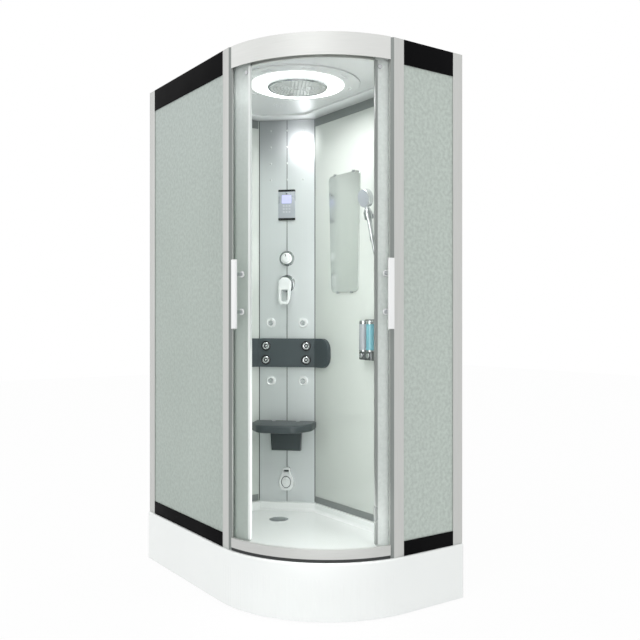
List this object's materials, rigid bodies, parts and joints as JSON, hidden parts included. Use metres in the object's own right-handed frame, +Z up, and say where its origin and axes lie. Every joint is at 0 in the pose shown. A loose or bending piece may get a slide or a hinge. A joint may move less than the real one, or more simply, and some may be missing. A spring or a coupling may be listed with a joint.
{
  "type": "steam shower cabin",
  "caption": "Corner steam shower cabin with a deep tray, curved sliding glass doors, a column of jets, a folding seat, a rain head in a lit roof and a hand shower",
  "frame": {"origin": "on the floor under the middle of the tray's rectangle, at the underside of the middle foot", "axes": "+X right along the long wall, +Y back into the room corner, +Z up; the rounded front corner is at +X -Y, the column at -X +Y"},
  "size_m": [1.2123, 0.8068, 2.1],
  "materials": {
    "acrylic": "white sanitary acrylic, semi gloss",
    "frame_steel": "grey primer",
    "foot_plastic": "black plastic feet with steel studs",
    "trap_plastic": "light grey pipe plastic",
    "chrome": "polished chrome",
    "frosted_glass": "pale green frosted safety glass",
    "black_trim": "gloss black",
    "aluminium": "satin anodised",
    "gasket": "dark seal",
    "seal": "white translucent seal",
    "handle_white": "white gloss",
    "nylon": "white nylon",
    "wall_glass": "back painted glass, pale green white",
    "trim_grey": "mid grey satin",
    "column_metal": "brushed",
    "panel_plastic": "pale silver",
    "display": "pale violet window",
    "brass": "cast and machined",
    "pad_dark": "dark blue grey, soft",
    "seat_dark": "dark blue grey",
    "bracket_grey": "grey",
    "outlet_chrome": "satin chrome",
    "generator_steel": "plain sheet",
    "mirror": "silvered glass",
    "hose_steel": "flexible spiral hose",
    "dispenser_plastic": "tinted tubes on a silver plate",
    "roof_acrylic": "pale acrylic",
    "led_diffuser": "opal diffuser",
    "fan_plastic": "black"
  },
  "bodies": {
    "cabin": {"tray": "acrylic", "tray_frame": "frame_steel", "leveling_feet": "foot_plastic", "drain_trap": "trap_plastic", "drain_cover": "chrome", "fixed_glass": "frosted_glass", "panel_rails": "black_trim", "wall_profiles": "aluminium", "frame_posts": "aluminium", "top_rail": "aluminium", "bottom_rail": "aluminium", "rail_gasket": "gasket", "rear_wall_left": "wall_glass", "rear_wall_right": "wall_glass", "wall_trims": "trim_grey", "column_panels": "column_metal", "column_nozzles": "chrome", "control_panel": "panel_plastic", "control_display": "display", "valve_plates": "chrome", "mixing_valve": "brass", "riser_pipe": "hose_steel", "jet_housings": "chrome", "massage_pad": "pad_dark", "pad_jets": "chrome", "seat_bracket": "bracket_grey", "steam_outlet": "outlet_chrome", "steam_generator": "generator_steel", "mirror": "mirror", "shower_holder": "chrome", "shower_hose": "hose_steel", "hose_elbow": "chrome", "soap_dispenser": "dispenser_plastic", "roof": "roof_acrylic", "led_ring": "led_diffuser", "rain_head": "chrome"},
    "left_door": {"left_door_glass": "frosted_glass", "left_door_seal": "seal", "left_door_handle": "handle_white", "left_door_fittings": "chrome"},
    "right_door": {"right_door_glass": "frosted_glass", "right_door_seal": "seal", "right_door_handle": "handle_white", "right_door_fittings": "chrome"},
    "left_front_wheel": {"left_front_roller": "nylon"},
    "left_rear_wheel": {"left_rear_roller": "nylon"},
    "right_front_wheel": {"right_front_roller": "nylon"},
    "right_rear_wheel": {"right_rear_roller": "nylon"},
    "selector": {"selector_knob": "chrome"},
    "mixer": {"mixer_spindle": "chrome"},
    "lever": {"mixer_lever": "chrome"},
    "jet_1": {"body_jet_1": "chrome"},
    "jet_2": {"body_jet_2": "chrome"},
    "jet_3": {"body_jet_3": "chrome"},
    "jet_4": {"body_jet_4": "chrome"},
    "folding_seat": {"seat": "seat_dark"},
    "handset": {"hand_shower": "chrome"},
    "left_button": {"left_dispenser_button": "chrome"},
    "right_button": {"right_dispenser_button": "chrome"},
    "fan": {"fan_impeller": "fan_plastic"}
  },
  "joints": [
    {"name": "left_door_slide", "type": "hinge", "parent": "cabin", "child": "left_door", "pos_m": [0.1, 0.1, 1.1], "axis": [0, 0, 1], "range_deg": [-3.7, 27.44]},
    {"name": "right_door_slide", "type": "hinge", "parent": "cabin", "child": "right_door", "pos_m": [0.1, 0.1, 1.1], "axis": [0, 0, 1], "range_deg": [-31.14, 0]},
    {"name": "left_front_roller_spin", "type": "hinge", "parent": "left_door", "child": "left_front_wheel", "pos_m": [0.21832, -0.33779, 2.03315], "axis": [0.2609, -0.9654, 0], "range_deg": [-1300, 1300]},
    {"name": "left_rear_roller_spin", "type": "hinge", "parent": "left_door", "child": "left_rear_wheel", "pos_m": [-0.05648, -0.32565, 2.03315], "axis": [-0.345, -0.9386, 0], "range_deg": [-1300, 1300]},
    {"name": "right_front_roller_spin", "type": "hinge", "parent": "right_door", "child": "right_front_wheel", "pos_m": [0.54452, 0.01018, 2.03315], "axis": [0.9802, -0.1981, 0], "range_deg": [-1300, 1300]},
    {"name": "right_rear_roller_spin", "type": "hinge", "parent": "right_door", "child": "right_rear_wheel", "pos_m": [0.51466, 0.28362, 2.03315], "axis": [0.9144, 0.4049, 0], "range_deg": [-1300, 1300]},
    {"name": "selector_turn", "type": "hinge", "parent": "cabin", "child": "selector", "pos_m": [-0.47993, 0.26993, 1.374], "axis": [0.7071, -0.7071, 0], "range_deg": [-135, 135]},
    {"name": "mixer_turn", "type": "hinge", "parent": "cabin", "child": "mixer", "pos_m": [-0.47993, 0.26993, 1.252], "axis": [0.7071, -0.7071, 0], "range_deg": [-45, 45]},
    {"name": "mixer_lift", "type": "hinge", "parent": "mixer", "child": "lever", "pos_m": [-0.47215, 0.26215, 1.252], "axis": [-0.7071, -0.7071, 0], "range_deg": [0, 22]},
    {"name": "jet_1_tilt", "type": "hinge", "parent": "cabin", "child": "jet_1", "pos_m": [-0.54215, 0.21902, 1.06], "axis": [0.7071, 0.7071, 0], "range_deg": [-20, 20]},
    {"name": "jet_2_tilt", "type": "hinge", "parent": "cabin", "child": "jet_2", "pos_m": [-0.42902, 0.33215, 1.06], "axis": [0.7071, 0.7071, 0], "range_deg": [-20, 20]},
    {"name": "jet_3_tilt", "type": "hinge", "parent": "cabin", "child": "jet_3", "pos_m": [-0.54215, 0.21902, 0.777], "axis": [0.7071, 0.7071, 0], "range_deg": [-20, 20]},
    {"name": "jet_4_tilt", "type": "hinge", "parent": "cabin", "child": "jet_4", "pos_m": [-0.42902, 0.33215, 0.777], "axis": [0.7071, 0.7071, 0], "range_deg": [-20, 20]},
    {"name": "seat_fold", "type": "hinge", "parent": "cabin", "child": "folding_seat", "pos_m": [-0.46154, 0.25154, 0.567], "axis": [-0.7071, -0.7071, 0], "range_deg": [0, 90]},
    {"name": "hand_shower_lift", "type": "slide", "parent": "cabin", "child": "handset", "axis": [0, -0.213, 0.977], "range_m": [0, 0.05]},
    {"name": "left_button_press", "type": "slide", "parent": "cabin", "child": "left_button", "axis": [0, 1, 0], "range_m": [0, 0.006], "stiffness_N_per_m": 400},
    {"name": "right_button_press", "type": "slide", "parent": "cabin", "child": "right_button", "axis": [0, 1, 0], "range_m": [0, 0.006], "stiffness_N_per_m": 400},
    {"name": "fan_spin", "type": "hinge", "parent": "cabin", "child": "fan", "pos_m": [-0.289, 0.117, 2.075], "axis": [0, 0, 1], "continuous": true}
  ],
  "couplings": [
    {"joint": "left_front_roller_spin", "follows": "left_door_slide", "ratio": -41.23},
    {"joint": "left_rear_roller_spin", "follows": "left_door_slide", "ratio": -41.23},
    {"joint": "right_front_roller_spin", "follows": "right_door_slide", "ratio": -41.23},
    {"joint": "right_rear_roller_spin", "follows": "right_door_slide", "ratio": -41.23}
  ]
}
